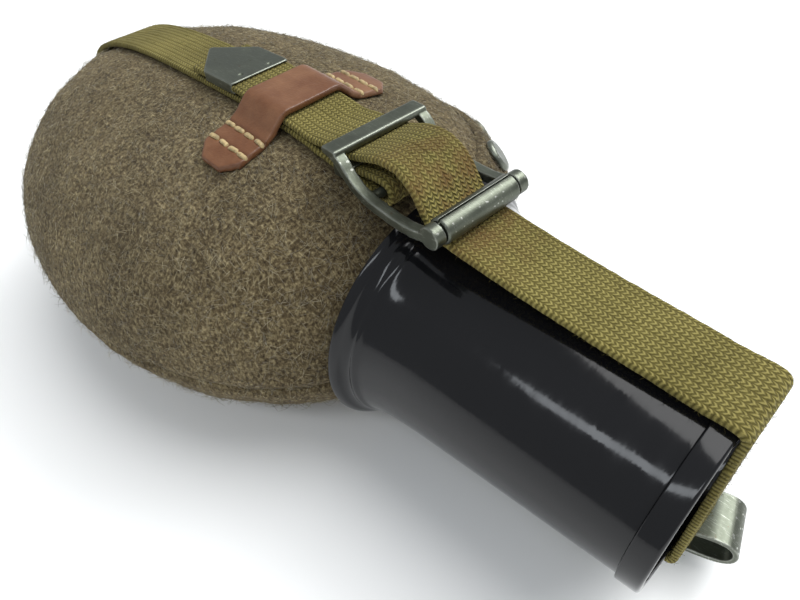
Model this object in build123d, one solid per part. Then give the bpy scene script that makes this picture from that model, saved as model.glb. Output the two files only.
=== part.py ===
from build123d import *
from math import atan2, cos, degrees, pi, radians, sin, sqrt
import os

os.makedirs("parts", exist_ok=True)

# Overall body of the bottle, measured over the felt
BODY_HALF_LENGTH = 97.0
BODY_HALF_WIDTH = 76.0
FRONT_DEPTH = 50.0
BACK_DEPTH = 40.0
EQUATOR_Z = BACK_DEPTH
SHOULDER_X = BODY_HALF_LENGTH - 6.0
WIDTH_POWER = 2.2
FRONT_POWER = 3.0
BACK_POWER = 2.2
FELT_THICK = 3.0
BOTTLE_WALL = 1.0

# Webbing strap
STRAP_WIDTH = 20.0
STRAP_THICK = 2.0
STRAP_GAP = 0.25

# Neck and screw cap
NECK_Z = EQUATOR_Z + 5.0
NECK_RADIUS = 14.0
NECK_WALL = 1.6
NECK_END_X = SHOULDER_X + 24.0
THREAD_RISE = 0.9
THREAD_PITCH = 4.0
RUNNING_FIT = 0.05
CAP_WALL = 3.4
CAP_START_X = SHOULDER_X + 6.0
CAP_TOP = 3.0
SEAL_THICK = 2.0

# Drinking cup
CUP_MOUTH_X = SHOULDER_X - 1.4
CUP_TAPER_START = SHOULDER_X - 1.0
CUP_END_X = SHOULDER_X + 83.0
CUP_WALL = 1.2
CUP_MOUTH_WIDE = 35.0
CUP_MOUTH_HIGH = 31.2
CUP_TAPER_WIDE = 0.055
CUP_TAPER_HIGH = 0.0875
CUP_FLARE = 4.0
CUP_FLARE_LENGTH = 5.5
RIM_BEAD_RADIUS = 1.4
SEAM_RISE = 1.0

# Buckle
BUCKLE_YAW = -3.0
BUCKLE_BAR_X = SHOULDER_X - 9.0
BUCKLE_BAR_Z = EQUATOR_Z + FRONT_DEPTH - 4.0
BUCKLE_BAR_RADIUS = 1.3
BUCKLE_INNER_HALF = 12.5
BUCKLE_SIDE_WIDTH = 3.0
BUCKLE_SIDE_THICK = 2.6
BUCKLE_END_X = BUCKLE_BAR_X - 12.7
BUCKLE_END_Z = BUCKLE_BAR_Z + 8.3
AXLE_X = BUCKLE_BAR_X + 22.5
AXLE_Z = BUCKLE_BAR_Z + 1.1
AXLE_RADIUS = 1.7
ROLLER_RADIUS = 3.4
PRONG_RADIUS = 1.2
WRAP_RADIUS = 2.9

# Leather keepers
KEEPER_WIDTH = 17.0
KEEPER_THICK = 2.0
KEEPER_HALF_SPAN = 31.0
FRONT_KEEPER_X = 36.0
BACK_KEEPER_X = -62.0
STITCH_RADIUS = 0.75

# Snap hook
HOOK_PIVOT_X = SHOULDER_X + 39.0
HOOK_PIVOT_Y = -3.0
HOOK_WIDTH = 15.0
HOOK_THICK = 1.4
HOOK_REACH = 52.0
HOOK_BEND_RADIUS = 4.4
HOOK_YAW = 16.0
HOOK_SLOPE = 7.6

STRAP_REST_Z = STRAP_THICK + 0.2
HUG = STRAP_THICK / 2 + STRAP_GAP

# Strap route: marks along the body are laid out for a 97 mm half length
STRETCH = BODY_HALF_LENGTH / 97.0
REST_PAD = 0.08
REST_PAD_LENGTH = 50.0
FLAT_Z = STRAP_THICK / 2 + REST_PAD
LOW_LIFT = 0.25
RETURN_LIFT = 2.4
BASE_CORNER = 0.7
BRIDGE_DROP = 2.51
BRIDGE_SLOPE = 0.17
RUN_SAG = 1.15

# Folded strap ends and the clamp
TIP_SHEET = 0.6
TIP_POINT_X = -7.6
TIP_SIDE_X = 5.5
TIP_BASE_X = 20.5
TIP_DENTS = ((18.4, 4.8), (17.5, -4.9))
CLAMP_SHEET = 0.8
CLAMP_LENGTH = 8.0
CLAMP_SIDE = 1.3

# Flap studs
FLAP_THICK = 2.6
STUD_RADIUS = 5.5
STUD_LIFT = 0.25
SOCKET_DEPTH = FELT_THICK - 1.0
STUD_SPOTS = ((73.0, 64.5), (48.0, 53.0), (18.0, 50.0), (-12.0, 49.0))

# Hook gate
PIN_RADIUS = 2.0
GATE_HINGE_X = 14.0
GATE_WIDTH = 9.0

# Rear tail
TAIL_OUT = HUG + STRAP_THICK + 2 * STRAP_GAP
TAIL_POINT_X = -BODY_HALF_LENGTH - 14.0
TAIL_POINT_Z = EQUATOR_Z + 25.5
TAIL_RISE = 70.0
TAIL_SHIFT = -1.5


def body_wide(x, inset):
    part = abs(x) / (BODY_HALF_LENGTH - inset)
    return (BODY_HALF_WIDTH - inset) * (1 - part**WIDTH_POWER) ** (1 / WIDTH_POWER)


def body_front(x, inset):
    part = abs(x) / (BODY_HALF_LENGTH - inset)
    return (FRONT_DEPTH - inset) * (1 - part**FRONT_POWER) ** (1 / FRONT_POWER)


def body_back(x, inset):
    part = abs(x) / (BODY_HALF_LENGTH - inset)
    return (BACK_DEPTH - inset) * (1 - part**BACK_POWER) ** (1 / BACK_POWER)


def cross_plane(x, z=0.0):
    return Plane(origin=(x, 0, z), x_dir=(0, 1, 0), z_dir=(1, 0, 0))


def oval_section(x, inset):
    plane = cross_plane(x, EQUATOR_Z)
    wide = body_wide(x, inset)
    upper = Edge.make_ellipse(wide, body_front(x, inset), plane, 0, 180)
    lower = Edge.make_ellipse(wide, body_back(x, inset), plane, 180, 360)
    return Face(Wire([upper, lower]))


def body_solid(inset, shoulder=SHOULDER_X):
    length = BODY_HALF_LENGTH - inset
    stations = [-length * sin(radians(a)) for a in (88.5, 84, 78, 70, 60, 49, 37, 25, 12)]
    last = shoulder - inset
    stations += [last * k for k in (0.0, 0.22, 0.43, 0.6, 0.74, 0.85, 0.93, 1.0)]
    return loft([oval_section(x, inset) for x in stations])


def smooth_points(points, steps=4):
    last = len(points) - 1
    spans = []
    for i in range(last):
        run = points[i + 1][0] - points[i][0]
        rise = points[i + 1][1] - points[i][1]
        spans.append((sqrt(run * run + rise * rise), run, rise))
    slopes = []
    for i in range(last + 1):
        before = spans[max(i - 1, 0)]
        after = spans[min(i, last - 1)]
        total = before[0] + after[0]
        pair = []
        for c in (1, 2):
            back_rate = before[c] / before[0]
            fore_rate = after[c] / after[0]
            pair.append((back_rate * after[0] + fore_rate * before[0]) / total)
        slopes.append(pair)
    dense = []
    for i in range(last):
        size = spans[i][0]
        for k in range(steps):
            t = k / steps
            pair = []
            for c in (0, 1):
                h = (2 * t**3 - 3 * t**2 + 1) * points[i][c]
                h += (t**3 - 2 * t**2 + t) * slopes[i][c] * size
                h += (3 * t**2 - 2 * t**3) * points[i + 1][c]
                h += (t**3 - t**2) * slopes[i + 1][c] * size
                pair.append(h)
            dense.append(tuple(pair))
    dense.append(points[last])
    return dense


def side_points(points, distance):
    shifted = []
    last = len(points) - 1
    for i in range(len(points)):
        a = points[max(i - 1, 0)]
        b = points[min(i + 1, last)]
        span = sqrt((b[0] - a[0]) ** 2 + (b[1] - a[1]) ** 2)
        nx = -(b[1] - a[1]) / span
        ny = (b[0] - a[0]) / span
        shifted.append((points[i][0] + nx * distance, points[i][1] + ny * distance))
    return shifted


def ribbon(points, thick, width, plane, steps=4):
    dense = smooth_points(points, steps)
    one = [plane.from_local_coords((p[0], p[1], 0)) for p in side_points(dense, thick / 2)]
    two = [plane.from_local_coords((p[0], p[1], 0)) for p in side_points(dense, -thick / 2)]
    first = Edge.make_spline(one)
    second = Edge.make_spline(two)
    cap_a = Edge.make_line(one[0], two[0])
    cap_b = Edge.make_line(one[-1], two[-1])
    face = Face(Wire([first, cap_b, second, cap_a]))
    return extrude(face, amount=width / 2, both=True, dir=plane.z_dir)


def round_bar(start, end, radius):
    line = Vector(*end) - Vector(*start)
    plane = Plane(origin=start, z_dir=line)
    return extrude(plane * Circle(radius), amount=line.length)


def tube_x(x0, x1, outer, inner, z):
    ring = Circle(outer) - Circle(inner) if inner > 0 else Circle(outer)
    return extrude(cross_plane(x0, z) * ring, amount=x1 - x0)


def hug_point(x, side, distance):
    depth = body_front if side > 0 else body_back
    step = 0.01
    rise = (depth(x + step, 0) - depth(x - step, 0)) / (2 * step)
    span = sqrt(1 + rise * rise)
    px = x - rise / span * distance
    pz = EQUATOR_Z + side * (depth(x, 0) + distance / span)
    return (px, pz)


# ---------------------------------------------------------------- felt cover
felt_shell = body_solid(0) - body_solid(FELT_THICK)
felt_shell -= tube_x(SHOULDER_X - 6, SHOULDER_X + 6, NECK_RADIUS + 1.5, 0, NECK_Z)
big = 400.0
above = Pos(0, 0, EQUATOR_Z + big / 2) * Box(big, big, big)
rest_cut = Pos(0, 0, STRAP_REST_Z - big / 2) * Box(big, big, big)
felt_front = felt_shell & above
felt_back = felt_shell - above - rest_cut

# closing flap on the far side, lapped over the front panel
flap_skin = body_solid(-FLAP_THICK, SHOULDER_X - FLAP_THICK - 3) - body_solid(0)
flap_zone = Plane.XZ * make_face(
    Polyline((-24, 40), (80, 40), (84, 56), (78, 72), (30, 60), (-14, 58), (-24, 50), (-24, 40))
)
closing_flap = flap_skin & extrude(flap_zone, amount=-big / 2)


def surface_frame(x, z, lift):
    rel = z - EQUATOR_Z

    def reach(px, pr):
        return body_wide(px, 0) * sqrt(1 - (pr / body_front(px, 0)) ** 2)

    step = 0.01
    slope_x = (reach(x + step, rel) - reach(x - step, rel)) / (2 * step)
    slope_z = (reach(x, rel + step) - reach(x, rel - step)) / (2 * step)
    normal = Vector(-slope_x, 1, -slope_z).normalized()
    origin = Vector(x, reach(x, rel), z) + normal * lift
    return Plane(origin=origin, x_dir=Vector(0, 0, 1).cross(normal), z_dir=normal)


caps = []
posts = []
sockets = []
for sx, sz in STUD_SPOTS:
    outer = surface_frame(sx, sz, FLAP_THICK + STUD_LIFT)
    inner = surface_frame(sx, sz, -SOCKET_DEPTH)
    dome = extrude(outer * Circle(STUD_RADIUS), amount=1.9)
    dome = fillet(dome.faces().sort_by(Axis(outer.origin, outer.z_dir))[-1].edges(), 1.3)
    caps.append(dome)
    posts.append(extrude(inner * Circle(1.5), amount=SOCKET_DEPTH + FLAP_THICK + STUD_LIFT))
    sockets.append(extrude(inner * (Circle(4.2) - Circle(1.5)), amount=1.0))
stud_posts = Compound(posts)
felt_front -= stud_posts
closing_flap -= stud_posts
stud_sockets = Compound(sockets)
felt_front -= stud_sockets

# ------------------------------------------------------------ inner bottle
bottle_outer = body_solid(FELT_THICK)
bottle_inner = body_solid(FELT_THICK + BOTTLE_WALL)
neck_outer = tube_x(SHOULDER_X - 6, NECK_END_X, NECK_RADIUS, 0, NECK_Z)
neck_bore = tube_x(SHOULDER_X - 20, NECK_END_X + 1, NECK_RADIUS - NECK_WALL, 0, NECK_Z)
whole_bottle = bottle_outer + neck_outer - bottle_inner - neck_bore
neck_side = Pos(SHOULDER_X - FELT_THICK + 50, 0, EQUATOR_Z) * Box(100, big, big)
bottle_neck = whole_bottle & neck_side
bottle_shell = whole_bottle - neck_side
bottle_front = bottle_shell & above
bottle_back = bottle_shell - above
neck_lip = tube_x(SHOULDER_X, SHOULDER_X + 3, NECK_RADIUS + 1.2, NECK_RADIUS, NECK_Z)

threads = []
for i in range(4):
    tx = CAP_START_X + 3 + i * THREAD_PITCH
    ring = tube_x(tx, tx + 1.6, NECK_RADIUS + THREAD_RISE, NECK_RADIUS, NECK_Z)
    threads.append(chamfer(ring.edges().filter_by(GeomType.CIRCLE).group_by(SortBy.RADIUS)[-1], 0.5))
neck_thread = Compound(threads)

# ------------------------------------------------------------ screw cap
cap_bore = NECK_RADIUS + THREAD_RISE + RUNNING_FIT
cap_radius = cap_bore + CAP_WALL
cap_end = NECK_END_X + SEAL_THICK + RUNNING_FIT
screw_cap = tube_x(CAP_START_X, cap_end + CAP_TOP, cap_radius, 0, NECK_Z)
screw_cap = fillet(screw_cap.faces().sort_by(Axis.X)[-1].edges(), 2.0)
screw_cap -= tube_x(CAP_START_X - 1, cap_end, cap_bore, 0, NECK_Z)
RIBS = 24
for i in range(RIBS):
    turn = 2 * pi * i / RIBS
    ry = cap_radius * cos(turn)
    rz = NECK_Z + cap_radius * sin(turn)
    screw_cap -= Pos(CAP_START_X + 11, ry, rz) * Rot(0, 90, 0) * Cylinder(1.0, 16)
cap_seal = tube_x(NECK_END_X, NECK_END_X + SEAL_THICK, cap_bore - RUNNING_FIT, 0, NECK_Z)


# ------------------------------------------------------------ drinking cup
def cup_wide(x):
    return CUP_MOUTH_WIDE - (x - CUP_TAPER_START) * CUP_TAPER_WIDE + cup_flare(x)


def cup_high(x):
    return CUP_MOUTH_HIGH - (x - CUP_TAPER_START) * CUP_TAPER_HIGH + cup_flare(x)


def cup_flare(x):
    return CUP_FLARE * 2.718281828 ** (-(x - CUP_MOUTH_X) / CUP_FLARE_LENGTH)


def cup_oval(x, grow):
    return cross_plane(x, NECK_Z) * Ellipse(cup_wide(x) + grow, cup_high(x) + grow)


CUP_MARKS = (0, 0.015, 0.03, 0.05, 0.075, 0.105, 0.145, 0.2, 0.3, 1.0)


def cup_solid(grow, x0, x1):
    return loft([cup_oval(x0 + (x1 - x0) * m, grow).face() for m in CUP_MARKS], ruled=True)


wall_end = CUP_END_X - 4
wall_faces = []
for grow in (0, -CUP_WALL):
    skins = cup_solid(grow, CUP_MOUTH_X, wall_end).faces()
    wall_faces += [f for f in skins if f.geom_type != GeomType.PLANE]
for x in (CUP_MOUTH_X, wall_end):
    wall_faces.append((cup_oval(x, 0) - cup_oval(x, -CUP_WALL)).face())
cup = Solid(Shell(wall_faces))


def cup_ring(x, radius, grow):
    path = (cross_plane(x, NECK_Z) * Ellipse(cup_wide(x) + grow, cup_high(x) + grow)).edge()
    spot = path @ 0
    section = Plane(origin=spot, z_dir=path % 0) * Circle(radius)
    return sweep(section, path=path)


cup += cup_ring(CUP_MOUTH_X, RIM_BEAD_RADIUS, -0.2)
cup += cup_ring(CUP_MOUTH_X + 4.2, 0.8, -0.2)

ring_start = wall_end - 1.5
base_block = extrude(cup_oval(ring_start, SEAM_RISE), amount=CUP_END_X - ring_start)
base_block = fillet(base_block.faces().sort_by(Axis.X)[-1].edges(), 0.7)
base_recess = extrude(cup_oval(wall_end + 1.2, -CUP_WALL), amount=10)
base_inside = cup_solid(0, CUP_MOUTH_X, wall_end)
cup_base = base_block - base_recess - base_inside

# ------------------------------------------------------------ strap
wrap = []
for a in range(-90, 91, 30):
    wx = BUCKLE_BAR_X + WRAP_RADIUS * cos(radians(a))
    wz = BUCKLE_BAR_Z + WRAP_RADIUS * sin(radians(a))
    wrap.append((wx, wz))
def from_bar(offsets):
    return [(BUCKLE_BAR_X + dx, BUCKLE_BAR_Z + dz) for dx, dz in offsets]


def along_body(marks):
    return [x * STRETCH for x in marks]


strap_path = from_bar([(dx, RETURN_LIFT) for dx in (-16.4, -14, -10)])
strap_path += from_bar([(-5, RETURN_LIFT + 0.3)])
strap_path += wrap[::-1]
strap_path += from_bar([(-4.5, -1.7), (-8.5, -0.3), (-13, LOW_LIFT), (-17.5, LOW_LIFT + 0.05)])
front_marks = (58, 50, 40, 28, 15, 0, -15, -30, -45, -58, -69, -78, -85, -90, -93.4, -95.6, -96.7)
strap_path += [hug_point(x, 1, HUG) for x in along_body(front_marks)]
strap_path.append((-BODY_HALF_LENGTH - HUG, EQUATOR_Z + 1.0))
back_marks = (-96.7, -95.2, -92.5, -88, -81, -72, -62, -52, -44)
strap_path += [hug_point(x, -1, HUG) for x in along_body(back_marks)]
strap_path += [(-37.5 * STRETCH, FLAT_Z + 0.15), (-33 * STRETCH, FLAT_Z)]
strap_path += [(x, FLAT_Z) for x in along_body((-20, 0, 20, 34))]
strap_path += [(46 * STRETCH, FLAT_Z + 0.15), (60 * STRETCH, 2.2), (75 * STRETCH, 3.5)]

# the strap rises under the cup, turns round its base and comes back to the roller
seam_low = NECK_Z - cup_high(CUP_END_X) - SEAM_RISE
seam_top = NECK_Z + cup_high(CUP_END_X) + SEAM_RISE
end_x = CUP_END_X + HUG
turn = BASE_CORNER + HUG + 0.1
bridge = []
for back in (84, 64, 44, 24, 12):
    bridge.append((CUP_END_X - back, seam_low - BRIDGE_DROP - BRIDGE_SLOPE * (back - 12)))
strap_path += bridge
strap_path.append((CUP_END_X - 5, seam_low - HUG - 0.15))
for a in (-90, -65, -40, -15):
    cx = CUP_END_X - BASE_CORNER + turn * cos(radians(a))
    strap_path.append((cx, seam_low + BASE_CORNER + turn * sin(radians(a))))
strap_path += [(end_x, seam_low + 4), (end_x, seam_low + 14), (end_x, NECK_Z)]
strap_path += [(end_x, seam_top - 14), (end_x, seam_top - 4)]
for a in (15, 40, 65, 90):
    cx = CUP_END_X - BASE_CORNER + turn * cos(radians(a))
    strap_path.append((cx, seam_top - BASE_CORNER + turn * sin(radians(a))))
base_top = (CUP_END_X - 7, seam_top + HUG + 0.35)
roller_foot = from_bar([(22, -3.6)])[0]
strap_path.append(base_top)
for t in (0.19, 0.38, 0.56, 0.75, 0.9):
    run_x = base_top[0] + t * (roller_foot[0] - base_top[0])
    run_z = base_top[1] + t * (roller_foot[1] - base_top[1])
    strap_path.append((run_x, run_z - 4 * RUN_SAG * t * (1 - t)))
strap_path.append(roller_foot)
strap_path += from_bar([(18.6, -2.4), (16.2, -0.4), (14.4, 2.0), (12.4, 4.6), (9.6, 6.8)])
strap_path += from_bar([(5.6, 8.3), (0.5, 8.7)])
strap_path += from_bar([(-3.6, 8.0), (-6.8, 6.9), (-10, 6.0), (-13, 5.6), (-17, 5.4), (-21, 5.1)])
SECOND = HUG + STRAP_THICK + STRAP_GAP
second_lifts = [(54, 0.15), (46, 0.1), (36, 0.1), (27, 0.25), (20, 0.7)]
second_lifts += [(x, 0.75) for x in (12, 4, -1, -6)]
for x, extra in second_lifts:
    strap_path.append(hug_point(x * STRETCH, 1, SECOND + extra))
strap = ribbon(strap_path, STRAP_THICK, STRAP_WIDTH, Plane.XZ)

# steel strap tip, folded over the free end
tip_half = STRAP_WIDTH / 2 + 0.4
tip_mid = hug_point(8, 1, SECOND + 0.75)[1]


def tip_outline(grow):
    return make_face(
        Polyline(
            (TIP_BASE_X, -tip_half + grow),
            (TIP_BASE_X, tip_half - grow),
            (TIP_SIDE_X, tip_half - grow),
            (TIP_POINT_X + grow, 0),
            (TIP_SIDE_X, -tip_half + grow),
            (TIP_BASE_X, -tip_half + grow),
        )
    )


tip_high = STRAP_THICK + 2 * TIP_SHEET + 0.2
tip_block = extrude(Pos(0, 0, tip_mid - tip_high / 2) * tip_outline(0), amount=tip_high)
tip_block = fillet(tip_block.edges().filter_by(Axis.Z), 1.2)
tip_block = fillet(tip_block.faces().sort_by(Axis.Z)[-1].edges(), 0.4)
beyond = Pos(-50, 0, tip_mid) * Box(100, 60, 8)
strap_end = extrude(Pos(0, 0, tip_mid - 3) * tip_outline(TIP_SHEET), amount=6)
strap = strap - (Pos(TIP_SIDE_X - 10, 0, tip_mid) * Box(20, 30, 3.4) - strap_end)
strap_tip = tip_block - strap
tip_room = extrude(Pos(0, 0, -STRAP_THICK / 2 - 0.1) * tip_outline(TIP_SHEET), amount=STRAP_THICK + 0.2)
strap_tip -= Pos(0, 0, tip_mid) * tip_room
tip_top = tip_mid + tip_high / 2
for dx, dy in TIP_DENTS:
    strap_tip -= Pos(dx, dy, tip_top + 0.65) * Sphere(1.1)

# webbing slot for the prong
prong_slot = Pos(BUCKLE_BAR_X + 1.5, 0, BUCKLE_BAR_Z) * Box(10, 6.0, 9.0)
strap -= prong_slot

# folded clamp plate holding the returned strap end
clamp_low = BUCKLE_BAR_Z + LOW_LIFT - STRAP_THICK / 2 - 0.05
clamp_high = BUCKLE_BAR_Z + RETURN_LIFT + STRAP_THICK / 2 + 0.05
clamp_x = BUCKLE_BAR_X - 13.0
clamp_span = clamp_high - clamp_low
clamp_mid = (clamp_low + clamp_high) / 2
clamp_outer = Box(CLAMP_LENGTH, STRAP_WIDTH + 2 * CLAMP_SIDE, clamp_span + 2 * CLAMP_SHEET)
clamp_outer = fillet(clamp_outer.edges().filter_by(Axis.X), 0.9)
clamp_room = Box(CLAMP_LENGTH + 1, STRAP_WIDTH + 0.6, clamp_span)
strap_clamp = Pos(clamp_x, 0, clamp_mid) * (clamp_outer - clamp_room)
strap_clamp -= strap
clamp_rivets = []
for ry in (-5.5, 5.5):
    clamp_rivets.append(Pos(clamp_x, ry, clamp_mid) * Cylinder(1.0, clamp_span + 2 * CLAMP_SHEET))
strap_rivets = Compound(clamp_rivets)
strap -= strap_rivets
strap_clamp -= strap_rivets

# ------------------------------------------------------------ buckle
yaw = Pos(BUCKLE_BAR_X, 0, 0) * Rot(0, 0, BUCKLE_YAW) * Pos(-BUCKLE_BAR_X, 0, 0)
side_path = [(BUCKLE_END_X, BUCKLE_END_Z)]
side_path += from_bar([(-9.6, 6.6), (-6.8, 3.8), (-3.6, 1.4), (0, 0.1), (6, -0.7), (12, -1.0)])
side_path += from_bar([(17.5, -0.5)]) + [(AXLE_X, AXLE_Z)]
frame = ribbon(side_path, BUCKLE_SIDE_THICK, 2 * (BUCKLE_INNER_HALF + BUCKLE_SIDE_WIDTH), Plane.XZ)
inner_block = Pos(BUCKLE_BAR_X + 6, 0, BUCKLE_BAR_Z + 4) * Box(60, 2 * BUCKLE_INNER_HALF, 30)
frame -= inner_block
outer_half = BUCKLE_INNER_HALF + BUCKLE_SIDE_WIDTH
left_bar = Pos(BUCKLE_END_X, 0, BUCKLE_END_Z) * Box(5.6, 2 * outer_half, 2.2)
left_bar = fillet(left_bar.edges().filter_by(Axis.Y), 0.8)
frame += left_bar
for s in (-1, 1):
    y0 = s * BUCKLE_INNER_HALF
    y1 = s * outer_half
    frame += round_bar((AXLE_X, y0, AXLE_Z), (AXLE_X, y1, AXLE_Z), ROLLER_RADIUS - 0.4)
bar_reach = BUCKLE_INNER_HALF + 0.5
cross_bars = ((BUCKLE_BAR_X, BUCKLE_BAR_Z, BUCKLE_BAR_RADIUS), (AXLE_X, AXLE_Z, AXLE_RADIUS))
for bar_x, bar_z, bar_radius in cross_bars:
    frame += round_bar((bar_x, -bar_reach, bar_z), (bar_x, bar_reach, bar_z), bar_radius)
buckle_frame = yaw * frame

roller_half = BUCKLE_INNER_HALF - 0.5
roller = round_bar((AXLE_X, -roller_half, AXLE_Z), (AXLE_X, roller_half, AXLE_Z), ROLLER_RADIUS)
roller = chamfer(roller.edges().filter_by(GeomType.CIRCLE), 0.4)
roller -= round_bar((AXLE_X, -20, AXLE_Z), (AXLE_X, 20, AXLE_Z), AXLE_RADIUS + RUNNING_FIT)
seam = Pos(AXLE_X - 0.2, 0, AXLE_Z + ROLLER_RADIUS - 0.4) * Box(0.5, 40, 1.6)
buckle_roller = yaw * (roller - seam)

prong_tip = (BUCKLE_BAR_X + 10.3, 0, BUCKLE_BAR_Z + 1.2)
prong = round_bar((BUCKLE_BAR_X, 0, BUCKLE_BAR_Z + 0.2), prong_tip, PRONG_RADIUS)
prong += Pos(*prong_tip) * Sphere(PRONG_RADIUS)
prong += round_bar((BUCKLE_BAR_X, -2.2, BUCKLE_BAR_Z), (BUCKLE_BAR_X, 2.2, BUCKLE_BAR_Z), 2.6)
bore = BUCKLE_BAR_RADIUS + RUNNING_FIT
prong -= round_bar((BUCKLE_BAR_X, -9, BUCKLE_BAR_Z), (BUCKLE_BAR_X, 9, BUCKLE_BAR_Z), bore)
buckle_prong = yaw * prong


# ------------------------------------------------------------ leather keepers
def felt_height(x, y, side):
    depth = body_front(x, 0) if side > 0 else body_back(x, 0)
    return EQUATOR_Z + side * depth * sqrt(1 - (y / body_wide(x, 0)) ** 2)


def keeper_parts(kx, side, layers):
    lift = KEEPER_THICK / 2 + (0.0 if side > 0 else 0.6)
    top = felt_height(kx, 0, side) + side * (layers * (STRAP_THICK + STRAP_GAP) + 0.5 + lift)
    half = []
    for y in (KEEPER_HALF_SPAN, 27, 23, 19):
        half.append((y, felt_height(kx, y, side) + side * (lift + 0.15)))
    edge = STRAP_WIDTH / 2
    near = felt_height(kx, edge + 5, side) + side * (lift + 0.5 + (layers - 1) * 0.9)
    half += [(edge + 5, near), (edge + 2.6, (near + top) / 2), (edge - 0.2, top - side * 0.2), (5, top)]
    path = half + [(0, top)] + [(-y, z) for y, z in half[::-1]]
    plane = cross_plane(kx)
    strip = ribbon(path, KEEPER_THICK, KEEPER_WIDTH, plane)
    corner = 4.6
    hw = KEEPER_WIDTH / 2
    hs = KEEPER_HALF_SPAN
    outline = make_face(
        Polyline(
            (kx - hw, -hs + corner),
            (kx - hw + corner, -hs),
            (kx + hw - corner, -hs),
            (kx + hw, -hs + corner),
            (kx + hw, hs - corner),
            (kx + hw - corner, hs),
            (kx - hw + corner, hs),
            (kx - hw, hs - corner),
            (kx - hw, -hs + corner),
        )
    )
    base = 60.0 if side > 0 else -20.0
    strip &= extrude(Pos(0, 0, base) * outline, amount=60)
    sews = []
    for y in (18.4, 24.2, -18.4, -24.2):
        z = felt_height(kx, y, side) + side * (lift + KEEPER_THICK / 2 + 0.25)
        for k in range(4):
            sx = kx + (k - 1.5) * 4.3
            sew = round_bar((sx - 1.5, y, z), (sx + 1.5, y, z), STITCH_RADIUS)
            for ex in (sx - 1.5, sx + 1.5):
                sew += Pos(ex, y, z) * Sphere(STITCH_RADIUS)
            sews.append(sew)
    depth = body_front if side > 0 else body_back
    fall = side * (depth(kx + 8, 0) - depth(kx - 8, 0)) / 16
    tilt = -degrees(atan2(fall, 1))
    centre_z = felt_height(kx, 0, side)
    lean = Pos(kx, 0, centre_z) * Rot(0, tilt, 0) * Pos(-kx, 0, -centre_z)
    strip = lean * strip
    sews = [lean * sew for sew in sews]
    threads = Compound(sews)
    return strip - threads, threads


keeper_front, keeper_front_stitches = keeper_parts(FRONT_KEEPER_X, 1, 2)
keeper_back, keeper_back_stitches = keeper_parts(BACK_KEEPER_X, -1, 1)

# ------------------------------------------------------------ snap hook
slope = HOOK_SLOPE
pivot_z = bridge[2][1] - (STRAP_THICK / 2 + 0.35)
hook_place = Pos(HOOK_PIVOT_X, HOOK_PIVOT_Y, pivot_z) * Rot(0, -slope, 0) * Rot(0, 0, HOOK_YAW)
leg_z = -HOOK_THICK / 2 - 0.1
bend_z = leg_z - HOOK_BEND_RADIUS
hook_path = [(-1, leg_z), (12, leg_z), (30, leg_z), (HOOK_REACH - 6, leg_z), (HOOK_REACH, leg_z)]
for a in (60, 30, 0, -30, -60):
    bx = HOOK_REACH + HOOK_BEND_RADIUS * cos(radians(a))
    bz = bend_z + HOOK_BEND_RADIUS * sin(radians(a))
    hook_path.append((bx, bz))
low_z = bend_z - HOOK_BEND_RADIUS
hook_path += [(HOOK_REACH, low_z), (HOOK_REACH - 8, low_z), (HOOK_REACH - 18, low_z)]
hook_path += [(HOOK_REACH - 22, low_z - 0.6)]
hook = ribbon(hook_path, HOOK_THICK, HOOK_WIDTH, Plane.XZ)
eye = extrude(Pos(-1, 0, leg_z - HOOK_THICK / 2) * Circle(HOOK_WIDTH / 2), amount=HOOK_THICK)
hook += eye
hook -= Pos(0, 0, leg_z) * Cylinder(PIN_RADIUS + RUNNING_FIT, 10)
snap_hook = hook_place * hook
pin_low = leg_z - HOOK_THICK / 2 - 0.1
rivet = Pos(0, 0, (pin_low + STRAP_THICK + 0.2) / 2) * Cylinder(PIN_RADIUS, STRAP_THICK + 0.2 - pin_low)
rivet += Pos(0, 0, pin_low - 0.5) * Cylinder(3.6, 1.0)
rivet += Pos(0, 0, STRAP_THICK + 0.7) * Cylinder(3.6, 1.0)
hook_rivet = Pos(HOOK_PIVOT_X, HOOK_PIVOT_Y, pivot_z) * Rot(0, -slope, 0) * rivet
strap -= hook_rivet

# pressed flat of the webbing's underside, on which the canteen rests
rest_pad = Pos(0, 0, REST_PAD + 0.2) * Box(REST_PAD_LENGTH, STRAP_WIDTH - 0.4, 2 * (REST_PAD + 0.2))
strap += rest_pad

# spring gate closing the hook mouth
hinge_z = leg_z - HOOK_THICK / 2 - 1.6
gate_end_x = HOOK_REACH - 17.0
gate_end_z = low_z + HOOK_THICK / 2 + 0.75
gate_path = [(GATE_HINGE_X, hinge_z), (GATE_HINGE_X + 6, hinge_z - 1.6), (gate_end_x - 5, gate_end_z + 0.4)]
gate_path += [(gate_end_x, gate_end_z)]
gate = ribbon(gate_path, 0.8, GATE_WIDTH, Plane.XZ)
gate += Pos(GATE_HINGE_X, 0, hinge_z) * Rot(90, 0, 0) * Cylinder(1.4, GATE_WIDTH)
gate -= Pos(GATE_HINGE_X, 0, hinge_z) * Rot(90, 0, 0) * Cylinder(0.8 + RUNNING_FIT, GATE_WIDTH + 2)
hook_gate = hook_place * gate
gate_pin = Pos(GATE_HINGE_X, 0, hinge_z) * Rot(90, 0, 0) * Cylinder(0.8, HOOK_WIDTH)
for s in (-1, 1):
    ear = Pos(GATE_HINGE_X, s * (HOOK_WIDTH / 2 - 0.8), hinge_z / 2 + leg_z / 2 - 0.4) * Box(4.4, 1.6, 3.6)
    gate_pin += ear
gate_mount = hook_place * (gate_pin - hook)

# ------------------------------------------------------------ rear tail at the foot
tail_run = (-cos(radians(TAIL_RISE)), sin(radians(TAIL_RISE)))


def along_tail(distance):
    return (TAIL_POINT_X - tail_run[0] * distance, TAIL_POINT_Z - tail_run[1] * distance)


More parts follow.
